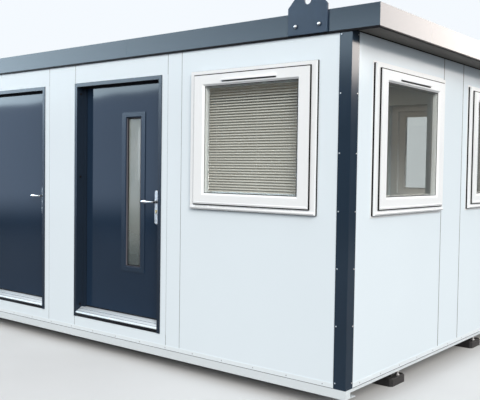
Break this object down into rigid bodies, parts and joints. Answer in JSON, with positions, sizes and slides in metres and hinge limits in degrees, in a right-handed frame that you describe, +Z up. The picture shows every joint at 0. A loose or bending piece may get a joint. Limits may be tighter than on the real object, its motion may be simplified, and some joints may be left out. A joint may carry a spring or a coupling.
{
  "type": "portable site cabin",
  "caption": "Single-storey portable cabin of insulated panels on steel feet, with two inward-opening doors, top-vented windows, a boxed roof edge and lifting eyes.",
  "frame": {"origin": "on the ground, under the middle of the plan", "axes": "+X along the long walls towards the right-hand end as seen from the doors, +Y from the door wall to the back wall, +Z up"},
  "size_m": [6.472, 3.496, 2.841],
  "materials": {
    "panel_white": "satin coated steel skin",
    "trim_anthracite": "semi-gloss coated folded steel",
    "roof_grey": "satin coated sheet",
    "rail_white": "satin painted steel",
    "flashing_white": "satin folded steel",
    "frame_anthracite": "semi-gloss coated steel",
    "threshold_aluminium": "mill finish",
    "leaf_anthracite": "semi-gloss coated steel",
    "window_white": "satin moulded plastic",
    "glass": "clear sealed unit",
    "blind": "painted slats",
    "lever_steel": "brushed",
    "hinge_steel": "satin zinc",
    "foot_dark": "matt paint",
    "stud_steel": "bright zinc",
    "bearer_dark": "matt primer",
    "floor_board": "sealed board",
    "lining": "satin lining board",
    "moulding_anthracite": "satin glazing moulding"
  },
  "bodies": {
    "root": {"support_feet": "foot_dark", "foot_studs": "stud_steel", "chassis_bearers": "bearer_dark", "base_rails_long": "rail_white", "base_rails_end": "rail_white", "floor_joists": "bearer_dark", "floor_deck": "floor_board", "base_flashings": "flashing_white", "corner_angles": "trim_anthracite", "front_wall_window_panels": "panel_white", "front_wall_strips": "panel_white", "front_wall_over_doors": "panel_white", "front_wall_under_doors": "panel_white", "front_wall_beside_doors": "panel_white", "back_wall_panels": "panel_white", "back_wall_strips": "panel_white", "right_wall_panels": "panel_white", "right_wall_strip": "panel_white", "left_wall_panels": "panel_white", "left_wall_strip": "panel_white", "window_frames": "window_white", "window_sashes": "window_white", "window_glass": "glass", "window_vents": "window_white", "front_window_blinds": "blind", "right_door_frame": "frame_anthracite", "left_door_frame": "frame_anthracite", "door_thresholds": "threshold_aluminium", "frame_hinges": "hinge_steel", "roof_panel": "panel_white", "roof_sheet": "roof_grey", "ceiling_lining": "lining", "fascia_long": "trim_anthracite", "fascia_ends": "trim_anthracite", "soffits": "trim_anthracite", "lifting_plates": "trim_anthracite"},
    "right_door": {"right_door_leaf": "leaf_anthracite", "right_door_glass": "glass", "right_door_mouldings": "moulding_anthracite", "right_door_plates": "lever_steel", "right_door_hinges": "hinge_steel"},
    "right_lever": {"right_door_levers": "lever_steel"},
    "left_door": {"left_door_leaf": "leaf_anthracite", "left_door_plates": "lever_steel", "left_door_hinges": "hinge_steel"},
    "left_lever": {"left_door_levers": "lever_steel"}
  },
  "joints": [
    {"name": "right_door_hinge", "type": "hinge", "parent": "root", "child": "right_door", "pos_m": [0.2385, -1.552, 1.36], "axis": [0, 0, 1], "range_deg": [0, 95]},
    {"name": "right_lever_turn", "type": "hinge", "parent": "right_door", "child": "right_lever", "pos_m": [1.155, -1.583, 1.352], "axis": [0, -1, 0], "range_deg": [0, 40], "stiffness_Nm_per_rad": 1.2, "springref_deg": -28.65},
    {"name": "left_door_hinge", "type": "hinge", "parent": "root", "child": "left_door", "pos_m": [-1.3025, -1.552, 1.36], "axis": [0, 0, 1], "range_deg": [0, 95]},
    {"name": "left_lever_turn", "type": "hinge", "parent": "left_door", "child": "left_lever", "pos_m": [-0.386, -1.583, 1.352], "axis": [0, -1, 0], "range_deg": [0, 40], "stiffness_Nm_per_rad": 1.2, "springref_deg": -28.65}
  ]
}
